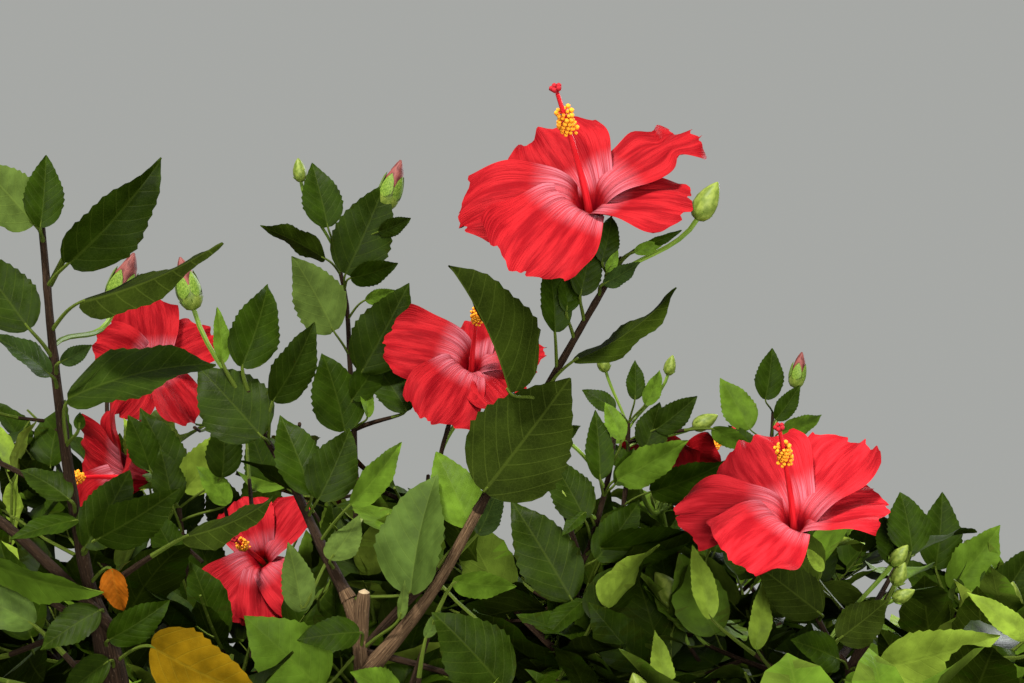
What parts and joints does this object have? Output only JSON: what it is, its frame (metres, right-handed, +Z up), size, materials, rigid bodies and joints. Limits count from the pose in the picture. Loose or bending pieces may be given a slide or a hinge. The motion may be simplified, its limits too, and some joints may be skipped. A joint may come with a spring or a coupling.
{
  "type": "hibiscus shrub",
  "caption": "Garden hibiscus shrub in bloom: a short flared stem base, tapering boughs and leafy masses of twigs with broad leaves, buds and open five-petalled flowers.",
  "frame": {"origin": "middle of the flat cut under the stem base, at ground level", "axes": "+Z up; the side that shows best faces -Y, and +X is on its right"},
  "size_m": [1.2176, 1.2485, 1.6453],
  "materials": {
    "bark": "matt grey-brown bark",
    "foliage": "glossy green leaves, red petals"
  },
  "bodies": {
    "root": {"bough_back_left": "bark", "bough_back_right": "bark", "bough_centre": "bark", "bough_centre_back": "bark", "bough_centre_far": "bark", "bough_centre_right": "bark", "bough_front": "bark", "bough_front_left": "bark", "bough_inner_left": "bark", "bough_left": "bark", "bough_left_back": "bark", "bough_low_1": "bark", "bough_low_2": "bark", "bough_low_3": "bark", "bough_low_4": "bark", "bough_low_5": "bark", "bough_low_6": "bark", "bough_low_7": "bark", "bough_right": "bark", "bough_shoulder_1": "bark", "bough_shoulder_2": "bark", "bough_shoulder_3": "bark", "bough_shoulder_4": "bark", "bough_shoulder_5": "bark", "bough_shoulder_6": "bark", "bough_shoulder_7": "bark", "bough_shoulder_8": "bark", "bough_tall": "bark", "foliage_back_left": "foliage", "foliage_back_right": "foliage", "foliage_centre": "foliage", "foliage_centre_back": "foliage", "foliage_centre_far": "foliage", "foliage_centre_right": "foliage", "foliage_front": "foliage", "foliage_front_left": "foliage", "foliage_inner_left": "foliage", "foliage_left": "foliage", "foliage_left_back": "foliage", "foliage_low_1": "foliage", "foliage_low_2": "foliage", "foliage_low_3": "foliage", "foliage_low_4": "foliage", "foliage_low_5": "foliage", "foliage_low_6": "foliage", "foliage_low_7": "foliage", "foliage_right": "foliage", "foliage_shoulder_1": "foliage", "foliage_shoulder_2": "foliage", "foliage_shoulder_3": "foliage", "foliage_shoulder_4": "foliage", "foliage_shoulder_5": "foliage", "foliage_shoulder_6": "foliage", "foliage_shoulder_7": "foliage", "foliage_shoulder_8": "foliage", "foliage_tall": "foliage", "stem_base": "bark"}
  },
  "joints": []
}
